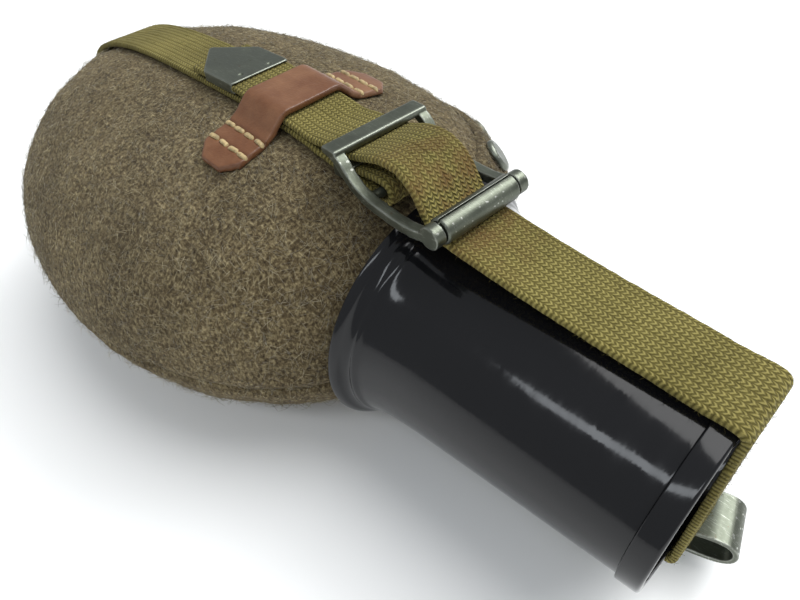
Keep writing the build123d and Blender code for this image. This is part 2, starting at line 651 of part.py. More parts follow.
tail_path = [hug_point(x, -1, TAIL_OUT) for x in along_body((-74, -80, -86, -91, -94.3, -96))]
tail_path += [along_tail(d) for d in (26.0, 19.0, 12.0, 6.0, 1.0)]
rear_tail = Pos(0, TAIL_SHIFT, 0) * ribbon(tail_path, STRAP_THICK, STRAP_WIDTH, Plane.XZ)
tip_place = Pos(TAIL_POINT_X, TAIL_SHIFT, TAIL_POINT_Z) * Rot(0, TAIL_RISE, 0) * Pos(-TIP_POINT_X, 0, 0)
rear_block = tip_place * Pos(0, 0, -tip_mid) * tip_block
rear_room = tip_place * tip_room
rear_beyond = tip_place * Pos(TIP_SIDE_X - 15, 0, 0) * Box(30, 30, 3.4)
rear_tail -= rear_beyond - rear_room
rear_tip = rear_block - rear_tail - rear_room

nodes = {
    "felt_front": felt_front,
    "felt_back": felt_back,
    "closing_flap": closing_flap,
    "stud_caps": Compound(caps),
    "stud_posts": stud_posts,
    "stud_sockets": stud_sockets,
    "bottle_front": bottle_front,
    "bottle_back": bottle_back,
    "bottle_neck": bottle_neck,
    "neck_collar": neck_lip,
    "neck_thread": neck_thread,
    "screw_cap": screw_cap,
    "cap_seal": cap_seal,
    "cup": cup,
    "cup_base": cup_base,
    "strap": strap,
    "strap_tip": strap_tip,
    "strap_clamp": strap_clamp,
    "clamp_rivets": strap_rivets,
    "buckle_frame": buckle_frame,
    "buckle_roller": buckle_roller,
    "buckle_prong": buckle_prong,
    "keeper_front": keeper_front,
    "keeper_front_stitches": keeper_front_stitches,
    "keeper_back": keeper_back,
    "keeper_back_stitches": keeper_back_stitches,
    "snap_hook": snap_hook,
    "hook_rivet": hook_rivet,
    "hook_gate": hook_gate,
    "gate_mount": gate_mount,
    "rear_tail": rear_tail,
    "rear_tip": rear_tip,
}
for name, shape in nodes.items():
    export_step(shape, "parts/" + name + ".step")
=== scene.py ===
"""Felt-covered canteen with its drinking cup, webbing strap and buckle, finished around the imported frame."""

import bisect
import random
from math import atan2, cos, exp, pi, radians, sin, sqrt

import bmesh
import bpy
from bpy.props import FloatProperty, FloatVectorProperty, IntProperty, PointerProperty
from mathutils import Matrix, Vector, noise
from mathutils.bvhtree import BVHTree


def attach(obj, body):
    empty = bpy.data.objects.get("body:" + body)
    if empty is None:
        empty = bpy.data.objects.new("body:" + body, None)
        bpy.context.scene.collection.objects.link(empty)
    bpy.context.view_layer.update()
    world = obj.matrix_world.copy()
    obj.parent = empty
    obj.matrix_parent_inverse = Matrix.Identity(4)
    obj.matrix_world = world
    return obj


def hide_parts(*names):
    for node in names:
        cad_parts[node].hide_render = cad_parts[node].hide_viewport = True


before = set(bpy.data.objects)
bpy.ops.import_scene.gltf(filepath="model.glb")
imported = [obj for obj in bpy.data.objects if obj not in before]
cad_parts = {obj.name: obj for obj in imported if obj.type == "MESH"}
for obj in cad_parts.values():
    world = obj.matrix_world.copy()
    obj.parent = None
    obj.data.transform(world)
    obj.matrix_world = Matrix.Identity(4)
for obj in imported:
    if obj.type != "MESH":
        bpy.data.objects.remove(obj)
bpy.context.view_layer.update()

bl_info = {
    "name": "Canteen",
    "version": (1, 0, 0),
    "blender": (4, 5, 0),
    "location": "3D View > Sidebar > Canteen",
    "description": "Builds the soft and finished pieces of a felt-covered canteen",
    "category": "Object",
}

MM = 0.001

# body of the bottle over the felt, in millimetres
HALF_LENGTH = 97.0
HALF_WIDTH = 76.0
FRONT_DEPTH = 50.0
BACK_DEPTH = 40.0
EQUATOR = 40.0
SHOULDER = 91.0
AXIS_Z = 45.0
STRAP_THICK = 2.0
HUG = 1.25
SECOND = 3.5
CUP_MOUTH = 89.6
CUP_END = 174.0
BAR_X = 82.0
BAR_Z = 86.0
AXLE_X = 104.5
KEEPERS = {"front": (36.0, 1), "back": (-62.0, -1)}


# ---------------------------------------------------------------- settings
class CanteenFelt(bpy.types.PropertyGroup):
    dark: FloatVectorProperty(name="Dark wool", description="Darkest fibres", subtype="COLOR", default=(0.024, 0.016, 0.009))
    middle: FloatVectorProperty(name="Brown wool", description="Main colour", subtype="COLOR", default=(0.098, 0.073, 0.038))
    pale: FloatVectorProperty(name="Pale wool", description="Lightest fibres", subtype="COLOR", default=(0.40, 0.34, 0.20))
    lump: FloatProperty(name="Lumps", description="Height of the soft lumps", default=0.00045, unit="LENGTH")
    fibres: IntProperty(name="Fibres", description="Loose fibres on each panel", default=11000, min=0)
    fibre_radius: FloatProperty(name="Fibre radius", description="Half thickness of a fibre", default=0.00006, unit="LENGTH")


class CanteenStrap(bpy.types.PropertyGroup):
    olive: FloatVectorProperty(name="Webbing", description="Main webbing colour", subtype="COLOR", default=(0.165, 0.14, 0.036))
    # shade: painted shade for the low grooves between the woven ribs
    shade: FloatVectorProperty(name="Grooves", description="Colour between the ribs", subtype="COLOR", default=(0.04, 0.032, 0.009))
    stain: FloatVectorProperty(name="Stain", description="Rust stain by the roller", subtype="COLOR", default=(0.13, 0.065, 0.022))
    width: FloatProperty(name="Width", description="Width of the webbing", default=0.02, unit="LENGTH")
    rib: FloatProperty(name="Rib", description="Spacing of the woven ribs", default=0.0018, unit="LENGTH")


class CanteenLeather(bpy.types.PropertyGroup):
    brown: FloatVectorProperty(name="Leather", description="Main leather colour", subtype="COLOR", default=(0.135, 0.052, 0.02))
    worn: FloatVectorProperty(name="Worn", description="Rubbed patches", subtype="COLOR", default=(0.25, 0.125, 0.06))
    edge: FloatVectorProperty(name="Edges", description="Burnished edges", subtype="COLOR", default=(0.07, 0.026, 0.012))
    thread: FloatVectorProperty(name="Thread", description="Waxed thread", subtype="COLOR", default=(0.50, 0.37, 0.17))


class CanteenCup(bpy.types.PropertyGroup):
    enamel: FloatVectorProperty(name="Enamel", description="Black enamel", subtype="COLOR", default=(0.006, 0.006, 0.007))
    wall: FloatProperty(name="Wall", description="Thickness of the cup's wall", default=0.0012, unit="LENGTH")
    bead: FloatProperty(name="Rim bead", description="Radius of the rolled rim", default=0.0014, unit="LENGTH")
    turn: IntProperty(name="Segments", description="Segments round the cup", default=192, min=48)


class CanteenSteel(bpy.types.PropertyGroup):
    bare: FloatVectorProperty(name="Steel", description="Worn steel", subtype="COLOR", default=(0.52, 0.53, 0.48))
    patina: FloatVectorProperty(name="Patina", description="Dull grey-green skin", subtype="COLOR", default=(0.105, 0.115, 0.088))


class CanteenStudio(bpy.types.PropertyGroup):
    floor: FloatVectorProperty(name="Floor", description="Floor colour", subtype="COLOR", default=(0.93, 0.93, 0.92))
    lens: FloatProperty(name="Lens", description="Focal length", default=27.615, unit="CAMERA")
    sky: FloatProperty(name="Room", description="Brightness of the room", default=0.5)
    key: FloatProperty(name="Key", description="Strength of the overhead light", default=2.1)


def settings(name):
    return getattr(bpy.context.scene, "canteen_" + name)


# ---------------------------------------------------------------- mesh helpers
def place_piece(bm, name, body, material, nodes=(), scale=MM, smooth=True):
    """Turns a bmesh in millimetres into a finished piece that rides on a body."""
    bmesh.ops.scale(bm, vec=(scale, scale, scale), verts=bm.verts)
    for face in bm.faces:
        face.smooth = smooth
    mesh = bpy.data.meshes.new(name)
    bm.to_mesh(mesh)
    bm.free()
    mesh.materials.append(material)
    piece = bpy.data.objects.new(name, mesh)
    bpy.context.scene.collection.objects.link(piece)
    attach(piece, body)
    if nodes:
        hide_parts(*nodes)
    return piece


def body_reach(x, side):
    """Half width and depth of the body's oval section at x."""
    part = min(abs(x) / HALF_LENGTH, 1.0)
    wide = HALF_WIDTH * (1 - part**2.2) ** (1 / 2.2)
    if side > 0:
        return wide, FRONT_DEPTH * (1 - part**3) ** (1 / 3)
    return wide, BACK_DEPTH * (1 - part**2.2) ** (1 / 2.2)


def hug_point(x, side, distance):
    step = 0.01
    rise = (body_reach(x + step, side)[1] - body_reach(x - step, side)[1]) / (2 * step)
    span = sqrt(1 + rise * rise)
    return (x - rise / span * distance, EQUATOR + side * (body_reach(x, side)[1] + distance / span))


def felt_height(x, y, side):
    wide, deep = body_reach(x, side)
    return EQUATOR + side * deep * sqrt(max(1 - (y / wide) ** 2, 0))


def smooth_route(points, gap):
    """Evenly spaced points with their directions along a smooth line through a route."""
    spans = []
    for a, b in zip(points, points[1:]):
        run, rise = b[0] - a[0], b[1] - a[1]
        spans.append((sqrt(run * run + rise * rise), run, rise))
    slopes = []
    for i in range(len(points)):
        back, fore = spans[max(i - 1, 0)], spans[min(i, len(spans) - 1)]
        total = back[0] + fore[0]
        slopes.append([(back[c] / back[0] * fore[0] + fore[c] / fore[0] * back[0]) / total for c in (1, 2)])
    dense = []
    for i, span in enumerate(spans):
        count = max(2, int(span[0] / gap * 2))
        for k in range(count):
            t = k / count
            spot = []
            for c in (0, 1):
                value = (2 * t**3 - 3 * t**2 + 1) * points[i][c] + (t**3 - 2 * t**2 + t) * slopes[i][c] * span[0]
                value += (3 * t**2 - 2 * t**3) * points[i + 1][c] + (t**3 - t**2) * slopes[i + 1][c] * span[0]
                spot.append(value)
            dense.append(Vector(spot))
    dense.append(Vector(points[-1]))
    marks = [0.0]
    for a, b in zip(dense, dense[1:]):
        marks.append(marks[-1] + (b - a).length)
    total = marks[-1]
    steps = int(total / gap)
    even = []
    k = 0
    for i in range(steps + 1):
        want = total * i / steps
        while k < len(marks) - 2 and marks[k + 1] < want:
            k += 1
        share = (want - marks[k]) / max(marks[k + 1] - marks[k], 1e-9)
        even.append(dense[k].lerp(dense[k + 1], min(max(share, 0), 1)))
    return even, total


def refined_copy(node, name, body, material, voxel=0.3, rounds=2):
    """A CAD node's shape with softened edges and an even skin, standing for that node."""
    bm = bmesh.new()
    bm.from_mesh(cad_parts[node].data)
    bmesh.ops.remove_doubles(bm, verts=bm.verts, dist=2e-6)
    mesh = bpy.data.meshes.new(name + "_start")
    bm.to_mesh(mesh)
    bm.free()
    start = bpy.data.objects.new(name + "_start", mesh)
    bpy.context.scene.collection.objects.link(start)
    skin = start.modifiers.new("Skin", "REMESH")
    skin.mode = "VOXEL"
    skin.voxel_size = voxel * MM
    bpy.context.view_layer.update()
    finished = bpy.data.meshes.new_from_object(start.evaluated_get(bpy.context.evaluated_depsgraph_get()))
    bpy.data.objects.remove(start)
    bm = bmesh.new()
    bm.from_mesh(finished)
    bpy.data.meshes.remove(finished)
    for _ in range(rounds):
        bmesh.ops.smooth_vert(bm, verts=bm.verts, factor=0.5, use_axis_x=True, use_axis_y=True, use_axis_z=True)
    return place_piece(bm, name, body, material, (node,), scale=1.0)


# ---------------------------------------------------------------- material helpers
def new_material(name):
    material = bpy.data.materials.new(name)
    material.use_nodes = True
    return material, material.node_tree, material.node_tree.nodes["Principled BSDF"]


def add_node(tree, kind, values=None, **props):
    node = tree.nodes.new(kind)
    for key, value in props.items():
        setattr(node, key, value)
    for key, value in (values or {}).items():
        node.inputs[key].default_value = value
    return node


def noise_at(tree, coords, scale, detail=4.0, rough=0.55):
    node = add_node(tree, "ShaderNodeTexNoise", {"Scale": scale, "Detail": detail, "Roughness": rough})
    tree.links.new(coords, node.inputs["Vector"])
    return node.outputs["Fac"]


def ramp(tree, value, stops):
    node = add_node(tree, "ShaderNodeValToRGB")
    band = node.color_ramp
    while len(band.elements) < len(stops):
        band.elements.new(0.5)
    for element, (place, colour) in zip(band.elements, stops):
        element.position = place
        element.color = (*colour, 1)
    tree.links.new(value, node.inputs["Fac"])
    return node.outputs["Color"]


def blend_colour(tree, share, one, two, mode="MIX"):
    node = add_node(tree, "ShaderNodeMix", data_type="RGBA", blend_type=mode)
    for key, value in ((0, share), (6, one), (7, two)):
        if isinstance(value, bpy.types.NodeSocket):
            tree.links.new(value, node.inputs[key])
        else:
            node.inputs[key].default_value = value if key == 0 else (*value, 1)
    return node.outputs[2]


def sums(tree, kind, *values):
    node = add_node(tree, "ShaderNodeMath", operation=kind)
    for i, value in enumerate(values):
        if isinstance(value, bpy.types.NodeSocket):
            tree.links.new(value, node.inputs[i])
        else:
            node.inputs[i].default_value = value
    return node.outputs[0]


def spread(tree, value, low, high, out_low=0.0, out_high=1.0):
    node = add_node(tree, "ShaderNodeMapRange", {1: low, 2: high, 3: out_low, 4: out_high}, clamp=True)
    tree.links.new(value, node.inputs[0])
    return node.outputs[0]


def bump(tree, shader, height, distance, strength=1.0):
    node = add_node(tree, "ShaderNodeBump", {"Strength": strength, "Distance": distance})
    tree.links.new(height, node.inputs["Height"])
    tree.links.new(node.outputs[0], shader.inputs["Normal"])


def object_coords(tree):
    return add_node(tree, "ShaderNodeTexCoord").outputs["Object"]


def stretched(tree, coords, factors, turn=(0, 0, 0)):
    node = add_node(tree, "ShaderNodeMapping", {"Scale": factors, "Rotation": turn})
    tree.links.new(coords, node.inputs["Vector"])
    return node.outputs[0]


def crease(tree):
    return add_node(tree, "ShaderNodeNewGeometry").outputs["Pointiness"]


def felt_material(name, tint=1.0):
    wool = settings("felt")
    material, tree, shader = new_material(name)
    coords = object_coords(tree)
    strand_a = noise_at(tree, stretched(tree, coords, (1, 5, 1.5), (0.3, 0.2, 0.7)), 420, 5, 0.7)
    strand_b = noise_at(tree, stretched(tree, coords, (5, 1, 1.5), (0.5, 0.4, 0.1)), 380, 5, 0.7)
    strands = sums(tree, "MAXIMUM", strand_a, strand_b)
    flock = noise_at(tree, coords, 950, 3, 0.7)
    blotch = noise_at(tree, coords, 28, 4, 0.6)
    mixed = sums(tree, "ADD", sums(tree, "MULTIPLY", strands, 0.5), sums(tree, "MULTIPLY", flock, 0.5))
    dark, middle, pale = (tuple(c * tint for c in part) for part in (wool.dark, wool.middle, wool.pale))
    colour = ramp(tree, mixed, [(0.40, dark), (0.50, middle), (0.575, tuple(0.6 * m + 0.4 * p for m, p in zip(middle, pale))), (0.66, pale)])
    cloud = blend_colour(tree, spread(tree, blotch, 0.35, 0.68, 0.0, 1.0), (0.72, 0.69, 0.64), (1.18, 1.15, 1.08))
    tree.links.new(blend_colour(tree, 1.0, colour, cloud, "MULTIPLY"), shader.inputs["Base Color"])
    shader.inputs["Roughness"].default_value = 0.95
    shader.inputs["Specular IOR Level"].default_value = 0.15
    shader.inputs["Sheen Weight"].default_value = 0.12
    shader.inputs["Sheen Roughness"].default_value = 0.5
    shader.inputs["Sheen Tint"].default_value = (0.85, 0.75, 0.58, 1)
    bump(tree, shader, mixed, 0.0014, 1.0)
    return material


def webbing_material(name):
    web = settings("strap")
    material, tree, shader = new_material(name)
    coords = object_coords(tree)
    split = add_node(tree, "ShaderNodeSeparateXYZ")
    tree.links.new(add_node(tree, "ShaderNodeUVMap", uv_map="Weave").outputs[0], split.inputs[0])
    along, across = split.outputs[0], split.outputs[1]
    pitch = web.rib / MM
    wave = sums(tree, "PINGPONG", across, pitch / 2)
    lean = sums(tree, "ADD", along, sums(tree, "MULTIPLY", wave, 0.85))
    wobble = sums(tree, "MULTIPLY", noise_at(tree, coords, 260, 2), 0.5)
    yarn = sums(tree, "SINE", sums(tree, "MULTIPLY", sums(tree, "ADD", lean, wobble), 2 * pi / 1.25))
    yarn = spread(tree, yarn, -1, 1)
    groove = spread(tree, wave, 0.0, 0.32)
    fuzz = noise_at(tree, coords, 1500, 3, 0.7)
    relief = sums(tree, "ADD", sums(tree, "MULTIPLY", yarn, groove), sums(tree, "MULTIPLY", fuzz, 0.55))
    # Painted light: the colour follows the relief, darkening to painted shade in the grooves between the ribs and
    # lightening to a painted highlight on the rib crests.
    body = ramp(tree, relief, [(0.1, web.shade), (0.55, web.olive), (1.0, tuple(c * 1.45 + 0.02 for c in web.olive))])
    cloud = blend_colour(tree, spread(tree, noise_at(tree, coords, 45, 4), 0.35, 0.65), (0.78, 0.76, 0.68), (1.12, 1.1, 1.06))
    body = blend_colour(tree, 1.0, body, cloud, "MULTIPLY")
    near = add_node(tree, "ShaderNodeVectorMath", operation="DISTANCE")
    near.inputs[1].default_value = (0.1, -0.002, 0.088)
    tree.links.new(coords, near.inputs[0])
    rust = sums(tree, "MULTIPLY", spread(tree, near.outputs["Value"], 0.007, 0.028, 1, 0), spread(tree, noise_at(tree, coords, 160, 4), 0.38, 0.62))
    body = blend_colour(tree, sums(tree, "MULTIPLY", rust, 0.75), body, web.stain)
    tree.links.new(body, shader.inputs["Base Color"])
    shader.inputs["Roughness"].default_value = 0.88
    shader.inputs["Specular IOR Level"].default_value = 0.2
    shader.inputs["Sheen Weight"].default_value = 0.08
    shader.inputs["Sheen Tint"].default_value = (0.8, 0.75, 0.45, 1)
    bump(tree, shader, relief, 0.0005, 0.9)
    return material


def leather_material(name):
    hide = settings("leather")
    material, tree, shader = new_material(name)
    coords = object_coords(tree)
    patch = spread(tree, noise_at(tree, coords, 42, 5, 0.6), 0.42, 0.68)
    pores = add_node(tree, "ShaderNodeTexVoronoi", {"Scale": 1700, "Randomness": 1.0})
    tree.links.new(coords, pores.inputs["Vector"])
    colour = blend_colour(tree, sums(tree, "MULTIPLY", patch, 0.75), hide.brown, hide.worn)
    grain = noise_at(tree, coords, 520, 4, 0.6)
    colour = blend_colour(tree, 1.0, colour, blend_colour(tree, grain, (0.8, 0.76, 0.72), (1.15, 1.15, 1.15)), "MULTIPLY")
    edge = spread(tree, crease(tree), 0.515, 0.56)
    colour = blend_colour(tree, sums(tree, "MULTIPLY", edge, 0.55), colour, hide.edge)
    tree.links.new(colour, shader.inputs["Base Color"])
    tree.links.new(spread(tree, patch, 0, 1, 0.36, 0.58), shader.inputs["Roughness"])
    shader.inputs["Specular IOR Level"].default_value = 0.45
    bump(tree, shader, sums(tree, "ADD", sums(tree, "MULTIPLY", pores.outputs["Distance"], 0.4), grain), 0.00018, 0.6)
    return material


def thread_material(name):
    hide = settings("leather")
    material, tree, shader = new_material(name)
    coords = object_coords(tree)
    grime = spread(tree, noise_at(tree, coords, 700, 4), 0.35, 0.65)
    colour = blend_colour(tree, grime, tuple(c * 0.5 for c in hide.thread), hide.thread)
    tree.links.new(colour, shader.inputs["Base Color"])
    shader.inputs["Roughness"].default_value = 0.6
    shader.inputs["Sheen Weight"].default_value = 0.15
    bump(tree, shader, noise_at(tree, coords, 2600, 2), 0.0001, 0.7)
    return material


def steel_material(name, wear=0.5, rust=0.2):
    steel = settings("steel")
    material, tree, shader = new_material(name)
    coords = object_coords(tree)
    cloud = noise_at(tree, coords, 120, 6, 0.65)
    fine = noise_at(tree, coords, 900, 3, 0.6)
    scratches = noise_at(tree, stretched(tree, coords, (1, 22, 4), (0, 0, 0.4)), 300, 2, 0.6)
    bare = sums(tree, "ADD", spread(tree, crease(tree), 0.50, 0.60), spread(tree, scratches, 0.60, 0.75, 0, 0.55))
    bare = sums(tree, "MULTIPLY", bare, spread(tree, cloud, 0.3, 0.6, wear * 0.6, wear * 1.6))
    skin = blend_colour(tree, cloud, tuple(c * 0.7 for c in steel.patina), tuple(c * 1.35 for c in steel.patina))
    colour = blend_colour(tree, spread(tree, bare, 0, 1), skin, steel.bare)
    spots = spread(tree, noise_at(tree, coords, 330, 5, 0.7), 0.66, 0.72, 0, rust * 3)
    colour = blend_colour(tree, spread(tree, spots, 0, 1), colour, (0.09, 0.04, 0.015))
    tree.links.new(colour, shader.inputs["Base Color"])
    tree.links.new(spread(tree, bare, 0, 1, 0.9, 1.0), shader.inputs["Metallic"])
    tree.links.new(spread(tree, sums(tree, "SUBTRACT", cloud, sums(tree, "MULTIPLY", bare, 0.35)), 0.1, 0.7, 0.24, 0.5), shader.inputs["Roughness"])
    bump(tree, shader, sums(tree, "ADD", fine, sums(tree, "MULTIPLY", scratches, 0.6)), 0.00006, 0.6)
    return material


def enamel_material(name):
    cup = settings("cup")
    material, tree, shader = new_material(name)
    coords = object_coords(tree)
    dust = noise_at(tree, coords, 800, 4, 0.7)
    smear = noise_at(tree, stretched(tree, coords, (3, 1, 1)), 60, 4, 0.6)
    specks = spread(tree, dust, 0.72, 0.80, 0, 0.35)
    colour = blend_colour(tree, specks, cup.enamel, (0.07, 0.065, 0.055))
    chips = spread(tree, crease(tree), 0.57, 0.66, 0, 0.5)
    colour = blend_colour(tree, chips, colour, (0.10, 0.10, 0.095))
    tree.links.new(colour, shader.inputs["Base Color"])
    tree.links.new(spread(tree, smear, 0.35, 0.7, 0.07, 0.17), shader.inputs["Roughness"])
    shader.inputs["Specular IOR Level"].default_value = 0.28
    shader.inputs["Coat Weight"].default_value = 0.12
    shader.inputs["Coat Roughness"].default_value = 0.05
    bump(tree, shader, smear, 0.00025, 0.35)
    return material


def plain_material(name, colour, roughness, metallic=0.0, grain=600.0, depth=0.00005):
    """Moulded or turned finish with a fine grain and slight wear."""
    material, tree, shader = new_material(name)
    coords = object_coords(tree)
    cloud = noise_at(tree, coords, grain / 6, 4)
    tone = blend_colour(tree, cloud, tuple(c * 0.75 for c in colour), tuple(min(c * 1.3, 1) for c in colour))
    tree.links.new(tone, shader.inputs["Base Color"])
    tree.links.new(spread(tree, cloud, 0.3, 0.7, roughness * 0.8, roughness * 1.2), shader.inputs["Roughness"])
    shader.inputs["Metallic"].default_value = metallic
    bump(tree, shader, noise_at(tree, coords, grain, 3), depth, 0.6)
    return material


def loose_wool(name):
    """Pale single fibres standing off the felt."""
    wool = settings("felt")
    material, tree, shader = new_material(name)
    tone = noise_at(tree, object_coords(tree), 240, 3, 0.7)
    colour = ramp(tree, tone, [(0.36, wool.middle), (0.5, tuple(0.45 * c for c in wool.pale)), (0.62, wool.pale)])
    tree.links.new(colour, shader.inputs["Base Color"])
    shader.inputs["Roughness"].default_value = 0.8
    shader.inputs["Specular IOR Level"].default_value = 0.2
    shader.inputs["Sheen Weight"].default_value = 0.3
    return material


MAKERS = {
    "Loose wool": loose_wool,
    "Felt": felt_material,
    "Flap felt": lambda n: felt_material(n, 0.95),
    "Webbing": webbing_material,
    "Leather": leather_material,
    "Thread": thread_material,
    "Steel": steel_material,
    "Hook steel": lambda n: steel_material(n, 0.8, 0.35),
    "Black enamel": enamel_material,
    "Aluminium": lambda n: plain_material(n, (0.72, 0.72, 0.7), 0.35, 1.0),
    "Black plastic": lambda n: plain_material(n, (0.018, 0.018, 0.018), 0.4),
    "Seal rubber": lambda n: plain_material(n, (0.05, 0.045, 0.04), 0.7),
    "Brass": lambda n: plain_material(n, (0.36, 0.33, 0.2), 0.35, 1.0),
}


def finish(name):
    """The named material, made on its first use."""
    return bpy.data.materials.get(name) or MAKERS[name](name)


# ---------------------------------------------------------------- felt
def felt_lift(x, y, z, lump):
    """How far the felt's surface stands off its nominal shape, in millimetres."""
    spot = Vector((x, y, z))
    lift = noise.noise(spot * 0.055) * lump * 1.5 + noise.noise(spot * 0.21) * lump * 0.8
    lift += noise.noise(spot * 0.75) * lump * 0.42
    under = max(0.0, 1 - max(abs(y) - 10.5, 0) / 3.0)
    beside = exp(-(((abs(y) - 14.5) / 3.5) ** 2))
    lift = lift * (1 - under) - 0.15 * under + 0.35 * beside
    seam = exp(-(((z - EQUATOR) / 1.1) ** 2))
    return lift - 0.75 * seam + 0.3 * exp(-(((abs(z - EQUATOR) - 3.0) / 1.6) ** 2))


def felt_panel(side):
    """One half of the felt jacket, from a sphere drawn out to the body's shape."""
    lump = settings("felt").lump / MM
    bm = bmesh.new()
    bmesh.ops.create_uvsphere(bm, u_segments=260, v_segments=150, radius=1.0, matrix=Matrix.Rotation(pi / 2, 4, "Y"))
    bmesh.ops.bisect_plane(bm, geom=bm.verts[:] + bm.edges[:] + bm.faces[:], dist=1e-4, plane_co=(0, 0, 0), plane_no=(0, 0, side), clear_inner=True)
    for vert in bm.verts:
        sx = max(min(vert.co.x, 1.0), -1.0)
        ring = sqrt(max(vert.co.y**2 + vert.co.z**2, 0.0))
        turn = atan2(abs(vert.co.z), vert.co.y)
        x = HALF_LENGTH * (1 if sx > 0 else -1) * abs(sx) ** (2 / 2.4)
        wide, deep = body_reach(x, side)
        if ring < 1e-6:
            wide = deep = 0.0
        vert.co = (x, wide * cos(turn), EQUATOR + side * deep * sin(turn))
    bmesh.ops.bisect_plane(bm, geom=bm.verts[:] + bm.edges[:] + bm.faces[:], dist=1e-4, plane_co=(SHOULDER, 0, 0), plane_no=(1, 0, 0), clear_outer=True)
    rim = [e for e in bm.edges if e.is_boundary and all(abs(v.co.x - SHOULDER) < 1e-3 for v in e.verts)]
    grown = bmesh.ops.extrude_edge_only(bm, edges=rim)["geom"]
    for vert in (g for g in grown if isinstance(g, bmesh.types.BMVert)):
        out = Vector((vert.co.y, vert.co.z - AXIS_Z))
        out = out.normalized() * 15.5 if out.length > 15.5 else out
        vert.co.y, vert.co.z = out.x, AXIS_Z + out.y
        if side * (vert.co.z - EQUATOR) < 0:
            vert.co.z = EQUATOR
    bmesh.ops.remove_doubles(bm, verts=bm.verts, dist=1e-3)
    bmesh.ops.recalc_face_normals(bm, faces=bm.faces)
    if sum(f.normal.z * side for f in bm.faces) < 0:
        bmesh.ops.reverse_faces(bm, faces=bm.faces)
    bm.normal_update()
    moves = [(v, v.normal.copy()) for v in bm.verts]
    for vert, normal in moves:
        x, y, z = vert.co
        ease = min(1.0, max(0.0, (SHOULDER - x) / 3))
        vert.co += normal * felt_lift(x, y, z, lump) * ease
        if side < 0:
            rest = 2.08 if abs(y) < 12 else max(0.9, 2.08 - (abs(y) - 12) * 0.25)
            vert.co.z = max(vert.co.z, rest)
    bmesh.ops.solidify(bm, geom=bm.faces[:], thickness=2.2)
    bmesh.ops.recalc_face_normals(bm, faces=bm.faces)
    return bm


def surface_samples(piece, count, seed, keep):
    """Random points, normals and lengthwise directions on a piece's outer faces."""
    chance = random.Random(seed)
    mesh = piece.data
    faces = [p for p in mesh.polygons if keep(p)]
    total = [0.0]
    for face in faces:
        total.append(total[-1] + face.area)
    samples = []
    for _ in range(count):
        face = faces[min(bisect.bisect(total, chance.random() * total[-1]) - 1, len(faces) - 1)]
        corners = [mesh.vertices[i].co for i in face.vertices[:3]]
        a, b = chance.random(), chance.random()
        if a + b > 1:
            a, b = 1 - a, 1 - b
        spot = corners[0] + (corners[1] - corners[0]) * a + (corners[2] - corners[0]) * b
        samples.append((spot, face.normal.copy(), chance.random() * 2 * pi, chance.random(), chance.random()))
    return samples


def fibre_bundle(name, samples, radius, reach, rise, body, material):
    """Fine loose fibres lying on a surface, each a short curled three-sided strand."""
    strand = bmesh.new()
    bmesh.ops.create_cone(strand, segments=3, radius1=1.0, radius2=0.35, depth=1.0, cap_ends=True)
    bmesh.ops.translate(strand, vec=(0, 0, 0.5), verts=strand.verts)
    bmesh.ops.bisect_plane(strand, geom=strand.verts[:] + strand.edges[:] + strand.faces[:], plane_co=(0, 0, 0.5), plane_no=(0, 0, 1))
    unit = bpy.data.meshes.new(name + "_unit")
    strand.to_mesh(unit)
    strand.free()
    base = [v.co.copy() for v in unit.vertices]
    bm = bmesh.new()
    for spot, normal, turn, size, lift in samples:
        side = normal.orthogonal().normalized()
        side = side * cos(turn) + normal.cross(side) * sin(turn)
        length = reach * (0.5 + size)
        slope = rise * lift * lift
        along = (side + normal * slope).normalized()
        across = along.cross(normal).normalized()
        up = across.cross(along)
        for vert, start in zip(unit.vertices, base):
            t = start.z
            bend = (t * (1 - t)) * length * (size - 0.5) * 0.9
            arch = t * (1 - t) * length * 0.28
            vert.co = spot + along * (t * length) + across * (bend + start.x * radius) + up * (start.y * radius) + normal * (arch - radius * 0.5)
        bm.from_mesh(unit)
    bpy.data.meshes.remove(unit)
    return place_piece(bm, name, body, material, scale=1.0)


def outer_felt(side):
    def keep(face):
        x, y, z = face.center
        wide, deep = body_reach(x / MM, side)
        reach = sqrt((y / MM / max(wide, 1)) ** 2 + ((z / MM - EQUATOR) / max(deep, 1)) ** 2)
        return reach > 0.975 and x / MM < SHOULDER - 1 and (abs(y) > 11 * MM or side < 0) and z > 2.4 * MM
    return keep


class CANTEEN_OT_felt(bpy.types.Operator):
    """Makes the two felt panels of the jacket with their loose fibres"""

    bl_idname = "canteen.felt"
    bl_label = "Felt jacket"

    def execute(self, context):
        wool = settings("felt")
        for side, word, count in ((1, "front", wool.fibres), (-1, "back", wool.fibres * 7 // 10)):
            panel = place_piece(felt_panel(side), "felt_panel_" + word, "canteen", finish("Felt"), ("felt_" + word,))
            samples = surface_samples(panel, count, 7 + side, outer_felt(side))
            fibre_bundle("felt_fibres_" + word, samples, wool.fibre_radius, 0.0034, 0.5, "canteen", finish("Loose wool"))
        flap = refined_copy("closing_flap", "felt_flap", "canteen", finish("Flap felt"), 0.7, 5)
        samples = surface_samples(flap, 2200, 31, lambda p: p.normal.y > 0.1)
        fibre_bundle("flap_fibres", samples, wool.fibre_radius, 0.003, 0.5, "canteen", finish("Loose wool"))
        return {"FINISHED"}


